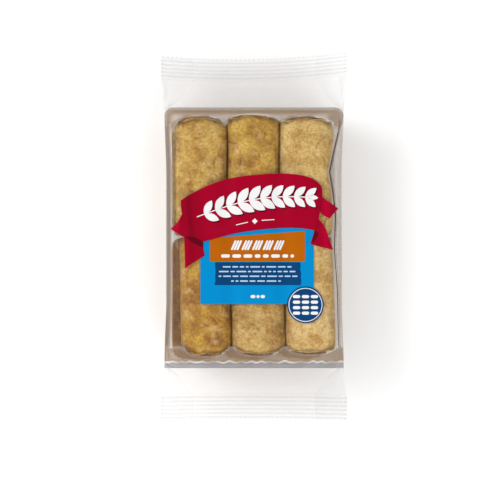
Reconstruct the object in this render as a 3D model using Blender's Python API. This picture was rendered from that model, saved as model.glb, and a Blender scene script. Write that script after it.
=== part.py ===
"""Sealed clear pack of party sausage rolls, as one solid.

A flow wrap of clear film is drawn tight round a deep tray that holds rolls three across, two long and two deep.
The film bridges from roll to roll over the top, bends over the tray's rim, and is gathered at both ends into a
flat crimped seal with a zigzag cut edge. On each side of both ends the film is tucked inwards as a gusset.

Metres, +Z up. The pack lies on its back with its front up: X is its width, Y its length, and the origin is on the
surface it lies on, under the middle of its outline.
"""

import math

import bmesh
import bpy

MM = 0.001

# Whole pack
WIDTH = 126.4 * MM  # across the end seals
HEIGHT = 50.8 * MM  # two layers of rolls, the tray's base and the film

# Tray, seen as the shape the film is drawn over
TRAY_HALF_WIDTH = 59.2 * MM  # at the rim, film included
TRAY_HALF_LENGTH = 87.7 * MM
TRAY_OFFSET = -0.9 * MM  # the tray lies a little nearer the near end
RIM_HEIGHT = 46.6 * MM
BASE_HALF_WIDTH = 56.8 * MM  # the walls lean in by their moulding draft
BASE_HALF_LENGTH = 85.1 * MM
WAIST = 1.3 * MM  # how much wider the pack is at its ends than half way along
RIM_ROUND = 2.4 * MM  # how softly the film bends over the rim
BASE_ROUND = 3.0 * MM

# Rolls under the film
COLUMN_CENTRES = {  # for the far row and the near row
    1: (-36.4 * MM, -0.9 * MM, 35.0 * MM),
    -1: (-33.2 * MM, 2.5 * MM, 37.9 * MM),
}
ROLL_ROW_END = 79.6 * MM
COLUMN_SAG = 1.5 * MM  # of the film between two columns
ROW_SAG = 1.3 * MM  # of the film between the two rows

# End seals
SEAL_HEIGHT = 24.0 * MM  # of the seal's middle plane above the surface
SEAL_THICKNESS = 1.0 * MM
SEAL_ROOT = {1: 105.6 * MM, -1: 106.9 * MM}  # where the flat part begins
SEAL_WIDTH = {1: 15.6 * MM, -1: 17.6 * MM}  # along the pack, to the tips of the teeth
SEAL_TILT = {1: 0.0222, -1: 0.002}  # how the seal runs askew,
SEAL_BOW = {1: 0.84, -1: 0.2}  # and how it bows, per metre
RIDGES = 5
RIDGE_DEPTH = 0.45 * MM
TOOTH_PITCH = 3.05 * MM
TOOTH_DEPTH = 1.3 * MM
GUSSET_DEPTH = 21.7 * MM  # of the tuck at the seal

# How finely the shape is divided
TOP_COLUMNS = 19
TOP_SHARES = [-1.0 + 2.0 * i / (TOP_COLUMNS - 1) for i in range(TOP_COLUMNS)]
SLOPE_STEPS = (0.08, 0.2, 0.36, 0.54, 0.72, 0.88)
BODY_STATIONS = (0.0, 2.2, 6.0, 24.0, 50.0, 70.0, 78.0, 82.0, 84.8, 86.6)


def clamp(value, low=0.0, high=1.0):
    return max(low, min(high, value))


def smooth(value):
    value = clamp(value)
    return value * value * (3.0 - 2.0 * value)


def bell(distance, half_width):
    """1 at no distance, falling smoothly to 0 at half_width."""
    share = clamp(abs(distance) / half_width)
    return 0.5 * (1.0 + math.cos(math.pi * share))


def column_centres(y):
    """Where the three columns lie at this station, changing over where the rows meet."""
    far = smooth((y / MM + 6.0) / 12.0)
    return [
        far * a + (1.0 - far) * b
        for a, b in zip(COLUMN_CENTRES[1], COLUMN_CENTRES[-1])
    ]


def rim_half_width(y):
    """The pack's half width at the rim, a little waisted between the ends."""
    return TRAY_HALF_WIDTH + WAIST * smooth((abs(y) / MM - 40.0) / 48.0)


def top_height(x, y):
    """The film's height over the rolls and out to the rim."""
    left, middle, right = column_centres(y)
    sag = COLUMN_SAG * (
        bell(x - (left + middle) / 2.0, 9.0 * MM)
        + bell(x - (middle + right) / 2.0, 9.0 * MM)
    )
    sag += ROW_SAG * bell(y, 7.0 * MM)
    crown = HEIGHT - sag
    to_side = smooth(
        (abs(x) - 50.0 * MM) / (rim_half_width(y) - RIM_ROUND - 50.0 * MM)
    )
    to_end = smooth(
        (abs(y) - (ROLL_ROW_END - 1.0 * MM))
        / (TRAY_HALF_LENGTH - ROLL_ROW_END + 1.0 * MM)
    )
    drop = 1.0 - (1.0 - to_side) * (1.0 - to_end)
    return crown + (RIM_HEIGHT - crown) * drop


def body_ring(y):
    """Points (x, z) round the pack at a station over the tray: across the top, down one side, back under it and up the other."""
    half = rim_half_width(y)
    base = BASE_HALF_WIDTH + (half - TRAY_HALF_WIDTH)
    flat = half - RIM_ROUND
    top = [(share * flat, top_height(share * flat, y)) for share in TOP_SHARES]
    middle = (half + base) / 2.0
    side = [
        (half - 0.3 * RIM_ROUND, RIM_HEIGHT - 0.3 * RIM_ROUND),
        (half, RIM_HEIGHT - RIM_ROUND),
        (middle, SEAL_HEIGHT),
        (base, BASE_ROUND),
        (base - 0.3 * BASE_ROUND, 0.3 * BASE_ROUND),
    ]
    bottom = [(-share * (base - BASE_ROUND), 0.0) for share in TOP_SHARES]
    return top, side, bottom


def slope_ring(share, sign):
    """The same points where the film runs from the rim and the base to the seal. share is 0 at the tray and 1 at the seal."""
    near_top, near_side, near_bottom = body_ring(sign * TRAY_HALF_LENGTH)
    flatten = share + 0.10 * math.sin(math.pi * share)
    half = rim_half_width(TRAY_HALF_LENGTH) + (
        WIDTH / 2.0 - rim_half_width(TRAY_HALF_LENGTH)
    ) * share
    upper = SEAL_HEIGHT + SEAL_THICKNESS / 2.0
    lower = SEAL_HEIGHT - SEAL_THICKNESS / 2.0
    high = RIM_HEIGHT + (upper - RIM_HEIGHT) * flatten
    low = lower * smooth(share) * 0.35 + lower * share * 0.65
    round_now = RIM_ROUND * (1.0 - share) + 0.2 * MM
    top = [(s * (half - round_now), high) for s in TOP_SHARES]
    tuck = GUSSET_DEPTH * share**0.75 * (1.0 - 0.25 * share**8)
    base_half = half - (half - BASE_HALF_WIDTH) * (1.0 - share)
    side = [
        (half - 0.3 * round_now, high - 0.3 * round_now * (1.0 - share)),
        (half - 0.12 * tuck, high - 0.30 * (high - SEAL_HEIGHT)),
        (half - tuck, SEAL_HEIGHT),
        (base_half - 0.12 * tuck, low + 0.30 * (SEAL_HEIGHT - low)),
        (base_half - 0.3 * round_now, low + 0.3 * round_now * (1.0 - share)),
    ]
    bottom = [(-s * (base_half - round_now), low) for s in TOP_SHARES]
    return top, side, bottom


def mirrored(points):
    """The other side of the ring, in the order that goes on round it."""
    return [(-x, z) for x, z in reversed(points)]


def seal_shift(x, sign):
    """How far out the seal lies at this distance from the middle, for one that runs askew and bows."""
    return SEAL_TILT[sign] * x + SEAL_BOW[sign] * x * x


def teeth(sign):
    """(x, depth) along the cut edge, depth 0 at the tips."""
    count = int(WIDTH / TOOTH_PITCH)
    pitch = WIDTH / count
    found = []
    for i in range(2 * count + 1):
        found.append((-WIDTH / 2.0 + i * pitch / 2.0, TOOTH_DEPTH * (i % 2)))
    return found


def build_pack():
    bm = bmesh.new()

    def add_ring(top, side, bottom, y_at):
        ring = top + side + bottom + mirrored(side)
        return [bm.verts.new((x, y_at(x), z)) for x, z in ring]

    def bridge(first, second):
        count = len(first)
        for i in range(count):
            j = (i + 1) % count
            bm.faces.new((first[i], first[j], second[j], second[i]))

    # Body and slopes, from the near end to the far end
    rings = []
    for share in reversed(SLOPE_STEPS):
        near = TRAY_HALF_LENGTH - TRAY_OFFSET
        root = -(near + (SEAL_ROOT[-1] - near) * share)
        rings.append(
            add_ring(
                *slope_ring(share, -1),
                lambda x, r=root, s=share: r - seal_shift(x, -1) * s,
            )
        )
    stations = [-y * MM for y in reversed(BODY_STATIONS[1:])]
    stations += [y * MM for y in BODY_STATIONS]
    stations = [-TRAY_HALF_LENGTH, *stations, TRAY_HALF_LENGTH]
    for y in stations:
        top, side, bottom = body_ring(y)
        base_y = y * (BASE_HALF_LENGTH / TRAY_HALF_LENGTH) + TRAY_OFFSET
        y += TRAY_OFFSET
        ring = [bm.verts.new((x, y, z)) for x, z in top]
        for x, z in side:
            lean = clamp(z / RIM_HEIGHT)
            ring.append(bm.verts.new((x, base_y + (y - base_y) * lean, z)))
        ring += [bm.verts.new((x, base_y, z)) for x, z in bottom]
        for x, z in mirrored(side):
            lean = clamp(z / RIM_HEIGHT)
            ring.append(bm.verts.new((x, base_y + (y - base_y) * lean, z)))
        rings.append(ring)
    for share in SLOPE_STEPS:
        near = TRAY_HALF_LENGTH + TRAY_OFFSET
        root = near + (SEAL_ROOT[1] - near) * share
        rings.append(
            add_ring(
                *slope_ring(share, 1),
                lambda x, r=root, s=share: r + seal_shift(x, 1) * s,
            )
        )
    for first, second in zip(rings, rings[1:]):
        bridge(first, second)

    # Seals
    half = WIDTH / 2.0
    for sign, last in ((-1, rings[0]), (1, rings[-1])):
        def at(x, out, z, sign=sign):
            return bm.verts.new((x, sign * (out + seal_shift(x, sign)), z))

        def row(out, z):
            return [at(share * half, out, z) for share in TOP_SHARES]

        flat_width = SEAL_WIDTH[sign] - TOOTH_DEPTH - 0.6 * MM
        pitch = flat_width / RIDGES
        levels = [(0.0, 0.0)]
        for k in range(RIDGES):
            levels.append(((k + 0.25) * pitch, 1.0))
            levels.append(((k + 0.75) * pitch, -1.0))
        levels.append((flat_width, 0.0))
        uppers, lowers = [], []
        for out, wave in levels:
            z = SEAL_HEIGHT + wave * RIDGE_DEPTH / 2.0
            place = SEAL_ROOT[sign] + out
            uppers.append(row(place, z + SEAL_THICKNESS / 2.0))
            lowers.append(row(place, z - SEAL_THICKNESS / 2.0))

        def face(*corners, sign=sign):
            bm.faces.new(corners if sign > 0 else tuple(reversed(corners)))

        # The last slope ring meets the first row of the seal
        columns = TOP_COLUMNS
        top = last[:columns]
        right = last[columns : columns + 5]
        bottom = last[columns + 5 : 2 * columns + 5]
        left = last[2 * columns + 5 :]
        for i in range(columns - 1):
            face(top[i], top[i + 1], uppers[0][i + 1], uppers[0][i])
            face(
                bottom[i],
                bottom[i + 1],
                lowers[0][columns - 2 - i],
                lowers[0][columns - 1 - i],
            )
        for side, start, stop, up, down in (
            (right, top[-1], bottom[0], uppers[0][-1], lowers[0][-1]),
            (left, bottom[-1], top[0], lowers[0][0], uppers[0][0]),
        ):
            face(start, side[0], up)
            face(side[0], side[1], up)
            face(side[1], side[2], up)
            face(side[2], down, up)
            face(side[2], side[3], down)
            face(side[3], side[4], down)
            face(side[4], stop, down)

        # Ridges
        for k in range(len(levels) - 1):
            for i in range(columns - 1):
                face(uppers[k][i], uppers[k][i + 1], uppers[k + 1][i + 1], uppers[k + 1][i])
                face(lowers[k][i + 1], lowers[k][i], lowers[k + 1][i], lowers[k + 1][i + 1])
            face(uppers[k][-1], lowers[k][-1], lowers[k + 1][-1], uppers[k + 1][-1])
            face(lowers[k][0], uppers[k][0], uppers[k + 1][0], lowers[k + 1][0])

        # Cut edge
        out = SEAL_ROOT[sign] + SEAL_WIDTH[sign]
        upper_edge, lower_edge = [], []
        for x, depth in teeth(sign):
            upper_edge.append(at(x, out - depth, SEAL_HEIGHT + SEAL_THICKNESS / 2.0))
            lower_edge.append(at(x, out - depth, SEAL_HEIGHT - SEAL_THICKNESS / 2.0))
        face(*uppers[-1], *reversed(upper_edge))
        face(*reversed(lowers[-1]), *lower_edge)
        for a, b, c, d in zip(upper_edge, upper_edge[1:], lower_edge[1:], lower_edge):
            face(a, b, c, d)
        face(uppers[-1][-1], lowers[-1][-1], lower_edge[-1], upper_edge[-1])
        face(lowers[-1][0], uppers[-1][0], upper_edge[0], lower_edge[0])

    # The underside is one flat face
    under = [
        f for f in bm.faces if all(abs(v.co.z) < 1e-7 for v in f.verts)
    ]
    bmesh.ops.dissolve_faces(bm, faces=under)
    bmesh.ops.triangulate(bm, faces=bm.faces[:])
    bmesh.ops.recalc_face_normals(bm, faces=bm.faces[:])
    mesh = bpy.data.meshes.new("sealed_pack")
    bm.to_mesh(mesh)
    bm.free()
    mesh.shade_smooth()
    mesh.set_sharp_from_angle(angle=math.radians(35.0))
    return mesh


def film_material():
    material = bpy.data.materials.new("clear_film")
    material.use_nodes = True
    shader = material.node_tree.nodes["Principled BSDF"]
    shader.inputs["Base Color"].default_value = (0.62, 0.52, 0.38, 1.0)
    shader.inputs["Roughness"].default_value = 0.22
    shader.inputs["Metallic"].default_value = 0.0
    return material


def main():
    for old in list(bpy.data.objects):
        bpy.data.objects.remove(old, do_unlink=True)
    mesh = build_pack()
    mesh.materials.append(film_material())
    pack = bpy.data.objects.new("sealed_pack", mesh)
    bpy.context.scene.collection.objects.link(pack)


main()
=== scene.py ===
"""A sealed clear pack of sausage rolls, lying flat and seen from straight above."""

import math
import random

import bmesh
import bpy
from mathutils import Matrix, Vector, noise
from mathutils.geometry import delaunay_2d_cdt


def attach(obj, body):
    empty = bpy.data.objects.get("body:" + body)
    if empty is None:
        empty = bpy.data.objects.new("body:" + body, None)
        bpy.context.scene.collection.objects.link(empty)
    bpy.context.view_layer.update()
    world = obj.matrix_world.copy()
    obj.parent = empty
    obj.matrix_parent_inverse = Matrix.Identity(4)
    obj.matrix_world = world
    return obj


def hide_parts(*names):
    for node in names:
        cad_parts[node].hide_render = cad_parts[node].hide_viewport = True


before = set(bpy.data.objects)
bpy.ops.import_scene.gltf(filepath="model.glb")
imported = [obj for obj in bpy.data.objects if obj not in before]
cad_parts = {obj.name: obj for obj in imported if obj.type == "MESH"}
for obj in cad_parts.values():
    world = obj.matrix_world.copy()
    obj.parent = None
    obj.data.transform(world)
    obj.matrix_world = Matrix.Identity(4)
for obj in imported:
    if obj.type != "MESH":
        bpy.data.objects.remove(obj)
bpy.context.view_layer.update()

MM = 0.001
NODE = "sealed_pack"

# Where the pack's parts are, in millimetres. The CAD solid has the same sizes.
SEAL_HALF = 63.1
SEAL_Z = 24.0
TRAY_MID = -0.9
TRAY_LONG = 87.7
RIM_HALF = 59.2
WAIST = 1.3
RIM_Z = 46.4
TOP_Z = 50.3
BASE_HALF = 56.8
BASE_LONG = 85.1
ROW_END = 79.6
SEAL_ROOT = {1: 105.6, -1: 106.9}
SEAL_WIDTH = {1: 15.6, -1: 17.6}
SEAL_TILT = {1: 0.0222, -1: 0.002}
SEAL_BOW = {1: 0.00084, -1: 0.0002}
TEETH = 41
TOOTH = 1.25
TUCK = 21.7
RIDGE = {1: 2.55, -1: 2.75}
COLUMNS = {1: (-36.0, -0.8, 35.6), -1: (-32.8, 2.6, 38.7)}


def srgb(r, g, b, gain=1.0):
    def one(v):
        v /= 255.0
        return v / 12.92 if v <= 0.04045 else ((v + 0.055) / 1.055) ** 2.4

    return (
        min(1.0, one(r) * gain),
        min(1.0, one(g) * gain),
        min(1.0, one(b) * gain),
        1.0,
    )


def clamp(v, low=0.0, high=1.0):
    return max(low, min(high, v))


def smooth(v):
    v = clamp(v)
    return v * v * (3.0 - 2.0 * v)


def mix(a, b, t):
    return a + (b - a) * t


def bell(d, w):
    return 0.5 * (1.0 + math.cos(math.pi * clamp(abs(d) / w)))


def n3(x, y, z=0.0):
    return noise.noise(Vector((x, y, z)))


# ---------------------------------------------------------------- materials


def new_material(name):
    material = bpy.data.materials.new(name)
    material.use_nodes = True
    return material, material.node_tree, material.node_tree.nodes["Principled BSDF"]


def add(tree, kind, **values):
    node = tree.nodes.new(kind)
    for key, value in values.items():
        if key.startswith("in_"):
            node.inputs[key[3:].replace("_", " ")].default_value = value
        else:
            setattr(node, key, value)
    return node


def ramp(tree, stops, interpolation="LINEAR"):
    node = tree.nodes.new("ShaderNodeValToRGB")
    node.color_ramp.interpolation = interpolation
    elements = node.color_ramp.elements
    while len(elements) > 1:
        elements.remove(elements[-1])
    elements[0].position, elements[0].color = stops[0][0], stops[0][1]
    for position, colour in stops[1:]:
        element = elements.new(position)
        element.color = colour
    return node


def pastry_material(name, pale, golden, brown, phase):
    """Baked pastry: golden with paler dusty patches, browner blotches, small crumbs of dark and a soft sheen."""
    material, tree, shader = new_material(name)
    link = tree.links.new
    place = add(tree, "ShaderNodeTexCoord")
    shift = add(tree, "ShaderNodeMapping")
    shift.inputs["Location"].default_value = (phase, 0.37 * phase, 0.11 * phase)
    link(place.outputs["Object"], shift.inputs["Vector"])
    broad = add(tree, "ShaderNodeTexNoise", in_Scale=88.0, in_Detail=8.0, in_Roughness=0.66)
    link(shift.outputs[0], broad.inputs["Vector"])
    mottled = ramp(
        tree,
        [(0.37, brown), (0.465, golden), (0.535, mix_colour(golden, pale, 0.45)), (0.62, pale)],
        "B_SPLINE",
    )
    link(broad.outputs["Fac"], mottled.inputs[0])
    # Short streaks of browner skin
    streak_place = add(tree, "ShaderNodeMapping")
    streak_place.inputs["Scale"].default_value = (1.0, 1.1, 1.0)
    streak_place.inputs["Rotation"].default_value = (0.0, 0.0, 0.5)
    link(shift.outputs[0], streak_place.inputs["Vector"])
    streak = add(tree, "ShaderNodeTexNoise", in_Scale=210.0, in_Detail=4.0, in_Roughness=0.55)
    link(streak_place.outputs[0], streak.inputs["Vector"])
    streak_mask = add(tree, "ShaderNodeMapRange", interpolation_type="SMOOTHSTEP")
    for key, value in (("From Min", 0.50), ("From Max", 0.78), ("To Min", 0.0), ("To Max", 0.55)):
        streak_mask.inputs[key].default_value = value
    link(streak.outputs["Fac"], streak_mask.inputs["Value"])
    browned = add(tree, "ShaderNodeMix", data_type="RGBA")
    link(streak_mask.outputs[0], browned.inputs["Factor"])
    link(mottled.outputs["Color"], browned.inputs["A"])
    browned.inputs["B"].default_value = brown
    # Dusty flour grey
    dust = add(tree, "ShaderNodeTexNoise", in_Scale=120.0, in_Detail=6.0, in_Roughness=0.6)
    link(streak_place.outputs[0], dust.inputs["Vector"])
    dust_mask = add(tree, "ShaderNodeMapRange", interpolation_type="SMOOTHSTEP")
    for key, value in (("From Min", 0.50), ("From Max", 0.72), ("To Min", 0.0), ("To Max", 0.62)):
        dust_mask.inputs[key].default_value = value
    link(dust.outputs["Fac"], dust_mask.inputs["Value"])
    dusty = add(tree, "ShaderNodeMix", data_type="RGBA")
    link(dust_mask.outputs[0], dusty.inputs["Factor"])
    link(browned.outputs["Result"], dusty.inputs["A"])
    dusty.inputs["B"].default_value = srgb(200, 166, 112)
    # Painted shade and painted highlight that follow the shape: darker in creases and hollows, paler on ridges and
    # rises; the same attribute also carries real browning at the cut ends and the pale cut edge
    hollow = add(tree, "ShaderNodeAttribute", attribute_name="shade_and_browning")
    ridge = add(tree, "ShaderNodeMapRange")
    for key, value in (("From Min", -0.5), ("From Max", 0.5), ("To Min", 0.0), ("To Max", 1.0)):
        ridge.inputs[key].default_value = value
    link(hollow.outputs["Fac"], ridge.inputs["Value"])
    tone = ramp(tree, [(0.0, (0.36, 0.27, 0.16, 1)), (0.5, (1, 1, 1, 1)), (1.0, (1.25, 1.28, 1.36, 1))])
    link(ridge.outputs[0], tone.inputs[0])
    toned = add(tree, "ShaderNodeMix", data_type="RGBA", blend_type="MULTIPLY")
    toned.inputs["Factor"].default_value = 1.0
    link(dusty.outputs["Result"], toned.inputs["A"])
    link(tone.outputs["Color"], toned.inputs["B"])
    # A few dark specks
    speck = add(tree, "ShaderNodeTexVoronoi", in_Scale=150.0, in_Randomness=1.0)
    link(shift.outputs[0], speck.inputs["Vector"])
    speck_mask = add(tree, "ShaderNodeMapRange")
    for key, value in (("From Min", 0.03), ("From Max", 0.075), ("To Min", 0.6), ("To Max", 0.0)):
        speck_mask.inputs[key].default_value = value
    link(speck.outputs["Distance"], speck_mask.inputs["Value"])
    specked = add(tree, "ShaderNodeMix", data_type="RGBA")
    link(speck_mask.outputs[0], specked.inputs["Factor"])
    link(toned.outputs["Result"], specked.inputs["A"])
    specked.inputs["B"].default_value = srgb(92, 56, 20)
    grain = add(tree, "ShaderNodeTexNoise", in_Scale=620.0, in_Detail=4.0, in_Roughness=0.55)
    link(shift.outputs[0], grain.inputs["Vector"])
    # Fine grain: browner and yellower, or paler
    sandy = ramp(tree, [(0.35, (0.80, 0.73, 0.45, 1)), (0.50, (1, 1, 1, 1)), (0.65, (1.12, 1.18, 1.60, 1))])
    link(grain.outputs["Fac"], sandy.inputs[0])
    grained = add(tree, "ShaderNodeMix", data_type="RGBA", blend_type="MULTIPLY")
    grained.inputs["Factor"].default_value = 1.0
    link(specked.outputs["Result"], grained.inputs["A"])
    link(sandy.outputs["Color"], grained.inputs["B"])
    link(grained.outputs["Result"], shader.inputs["Base Color"])
    bump = add(tree, "ShaderNodeBump", in_Strength=0.5, in_Distance=0.0007)
    link(grain.outputs["Fac"], bump.inputs["Height"])
    link(bump.outputs[0], shader.inputs["Normal"])
    wet = add(tree, "ShaderNodeMapRange")
    for key, value in (("From Min", 0.35), ("From Max", 0.65), ("To Min", 0.42), ("To Max", 0.68)):
        wet.inputs[key].default_value = value
    link(broad.outputs["Fac"], wet.inputs["Value"])
    link(wet.outputs[0], shader.inputs["Roughness"])
    shader.inputs["Specular IOR Level"].default_value = 0.32
    shader.inputs["Subsurface Weight"].default_value = 0.08
    shader.inputs["Subsurface Scale"].default_value = 0.0015
    shader.inputs["Subsurface Radius"].default_value = (1.0, 0.5, 0.2)
    return material


def mix_colour(a, b, t):
    return tuple(mix(p, q, t) for p, q in zip(a, b))


def filling_material():
    """Sausage meat: pinkish beige, flecked, a little shiny."""
    material, tree, shader = new_material("sausage_meat")
    link = tree.links.new
    place = add(tree, "ShaderNodeTexCoord")
    coarse = add(tree, "ShaderNodeTexNoise", in_Scale=330.0, in_Detail=5.0, in_Roughness=0.65)
    link(place.outputs["Object"], coarse.inputs["Vector"])
    colour = ramp(
        tree,
        [(0.32, srgb(128, 88, 66)), (0.5, srgb(182, 142, 114)), (0.68, srgb(214, 184, 158))],
    )
    link(coarse.outputs["Fac"], colour.inputs[0])
    fleck = add(tree, "ShaderNodeTexVoronoi", in_Scale=420.0)
    link(place.outputs["Object"], fleck.inputs["Vector"])
    fleck_mask = add(tree, "ShaderNodeMapRange")
    for key, value in (("From Min", 0.05), ("From Max", 0.14), ("To Min", 0.5), ("To Max", 0.0)):
        fleck_mask.inputs[key].default_value = value
    link(fleck.outputs["Distance"], fleck_mask.inputs["Value"])
    both = add(tree, "ShaderNodeMix", data_type="RGBA")
    link(fleck_mask.outputs[0], both.inputs["Factor"])
    link(colour.outputs["Color"], both.inputs["A"])
    both.inputs["B"].default_value = srgb(96, 66, 44)
    link(both.outputs["Result"], shader.inputs["Base Color"])
    bump = add(tree, "ShaderNodeBump", in_Strength=0.5, in_Distance=0.0008)
    link(coarse.outputs["Fac"], bump.inputs["Height"])
    link(bump.outputs[0], shader.inputs["Normal"])
    shader.inputs["Roughness"].default_value = 0.45
    shader.inputs["Subsurface Weight"].default_value = 0.12
    shader.inputs["Subsurface Scale"].default_value = 0.0015
    return material


def clear_plastic(name, haze_colour, haze_name, gloss_roughness, ripple, tint=(1, 1, 1, 1), shine=1.0, toned=False):
    """Thin clear plastic. The piece's own haze attribute says how milky each place is."""
    material, tree, shader = new_material(name)
    link = tree.links.new
    out = tree.nodes["Material Output"]
    shader.inputs["Base Color"].default_value = haze_colour
    shader.inputs["Roughness"].default_value = 0.6
    shader.inputs["Specular IOR Level"].default_value = 0.08
    clear = add(tree, "ShaderNodeBsdfTransparent")
    clear.inputs["Color"].default_value = tint
    gloss = add(tree, "ShaderNodeBsdfAnisotropic")
    gloss.inputs["Color"].default_value = (1, 1, 1, 1)
    gloss.inputs["Roughness"].default_value = gloss_roughness
    # A thin sheet mirrors the same from both of its sides
    fresnel = add(tree, "ShaderNodeLayerWeight", in_Blend=0.5)
    steep = add(tree, "ShaderNodeMath", operation="POWER")
    steep.inputs[1].default_value = 4.0
    link(fresnel.outputs["Facing"], steep.inputs[0])
    strength = add(tree, "ShaderNodeMath", operation="MULTIPLY_ADD")
    strength.inputs[1].default_value = 0.75 * shine
    strength.inputs[2].default_value = 0.011 * shine
    link(steep.outputs[0], strength.inputs[0])
    sheen = add(tree, "ShaderNodeMixShader")
    link(strength.outputs[0], sheen.inputs[0])
    link(clear.outputs[0], sheen.inputs[1])
    link(gloss.outputs[0], sheen.inputs[2])
    haze = add(tree, "ShaderNodeAttribute", attribute_name=haze_name)
    # painted shade: on the film the two tint attributes darken the haze to grey or to brown, standing in for shade and
    # for shaded rolls seen through the film
    if toned:
        previous = None
        for attribute, tint_to in (("grey_shade", (0.172, 0.170, 0.178, 1.0)), ("brown_shade", (0.228, 0.138, 0.066, 1.0))):
            amount = add(tree, "ShaderNodeAttribute", attribute_name=attribute)
            step = add(tree, "ShaderNodeMix", data_type="RGBA")
            link(amount.outputs["Fac"], step.inputs["Factor"])
            if previous is None:
                step.inputs["A"].default_value = haze_colour
            else:
                link(previous.outputs["Result"], step.inputs["A"])
            step.inputs["B"].default_value = tint_to
            previous = step
        link(previous.outputs["Result"], shader.inputs["Base Color"])
    whole = add(tree, "ShaderNodeMixShader")
    link(haze.outputs["Fac"], whole.inputs[0])
    link(sheen.outputs[0], whole.inputs[1])
    link(shader.outputs[0], whole.inputs[2])
    link(whole.outputs[0], out.inputs["Surface"])
    if ripple:
        place = add(tree, "ShaderNodeTexCoord")
        waves = add(tree, "ShaderNodeTexNoise", in_Scale=ripple, in_Detail=2.0)
        link(place.outputs["Object"], waves.inputs["Vector"])
        bump = add(tree, "ShaderNodeBump", in_Strength=0.16, in_Distance=0.001)
        link(waves.outputs["Fac"], bump.inputs["Height"])
        for socket in (gloss.inputs["Normal"], shader.inputs["Normal"], fresnel.inputs["Normal"]):
            link(bump.outputs[0], socket)
    return material


def ink_material(name, colour, roughness=0.38, shaded=False):
    """Printing ink on film: flat colour, faintly uneven, with a faint gloss of its own."""
    material, tree, shader = new_material(name)
    link = tree.links.new
    place = add(tree, "ShaderNodeTexCoord")
    uneven = add(tree, "ShaderNodeTexNoise", in_Scale=900.0, in_Detail=2.0)
    link(place.outputs["Object"], uneven.inputs["Vector"])
    tone = ramp(tree, [(0.3, (0.95, 0.95, 0.95, 1)), (0.7, (1.0, 1.0, 1.0, 1))])
    link(uneven.outputs["Fac"], tone.inputs[0])
    mixed = add(tree, "ShaderNodeMix", data_type="RGBA", blend_type="MULTIPLY")
    mixed.inputs["Factor"].default_value = 1.0
    mixed.inputs["A"].default_value = colour
    link(tone.outputs["Color"], mixed.inputs["B"])
    last = mixed
    if shaded:
        # printed folds, and a painted reflection where the right-hand tails are paler: the piece's shade attribute is
        # 0 for none, above 0 darker and below 0 paler
        fold = add(tree, "ShaderNodeAttribute", attribute_name="shade")
        span = add(tree, "ShaderNodeMapRange")
        for key, value in (("From Min", -1.0), ("From Max", 1.0), ("To Min", 0.0), ("To Max", 1.0)):
            span.inputs[key].default_value = value
        link(fold.outputs["Fac"], span.inputs["Value"])
        folds = ramp(tree, [(0.0, (1.6, 6.0, 2.6, 1)), (0.5, (1, 1, 1, 1)), (1.0, (0.32, 0.5, 0.36, 1))])
        link(span.outputs[0], folds.inputs[0])
        last = add(tree, "ShaderNodeMix", data_type="RGBA", blend_type="MULTIPLY")
        last.inputs["Factor"].default_value = 1.0
        link(mixed.outputs["Result"], last.inputs["A"])
        link(folds.outputs["Color"], last.inputs["B"])
    link(last.outputs["Result"], shader.inputs["Base Color"])
    shader.inputs["Roughness"].default_value = roughness
    shader.inputs["Specular IOR Level"].default_value = 0.04
    return material


# ------------------------------------------------------------------- meshes


def finish_mesh(name, verts, faces, materials, smooth_angle=None, slots=None, attributes=None):
    mesh = bpy.data.meshes.new(name)
    mesh.from_pydata([(x * MM, y * MM, z * MM) for x, y, z in verts], [], faces)
    for material in materials:
        mesh.materials.append(material)
    if slots:
        mesh.polygons.foreach_set("material_index", slots)
    for key, values in (attributes or {}).items():
        made = mesh.attributes.new(key, "FLOAT", "POINT")
        made.data.foreach_set("value", values)
    mesh.update()
    mesh.validate()
    mesh.shade_smooth()
    if smooth_angle:
        mesh.set_sharp_from_angle(angle=math.radians(smooth_angle))
    piece = bpy.data.objects.new(name, mesh)
    bpy.context.scene.collection.objects.link(piece)
    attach(piece, "root")
    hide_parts(NODE)
    return piece


# -------------------------------------------------------------------- rolls


def superellipse(angle, a, b, power_top, power_bottom):
    c, s = math.cos(angle), math.sin(angle)
    p = power_top if s > 0 else power_bottom
    x = a * math.copysign(abs(c) ** (2.0 / p), c)
    z = b * math.copysign(abs(s) ** (2.0 / p), s)
    return x, z


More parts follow.
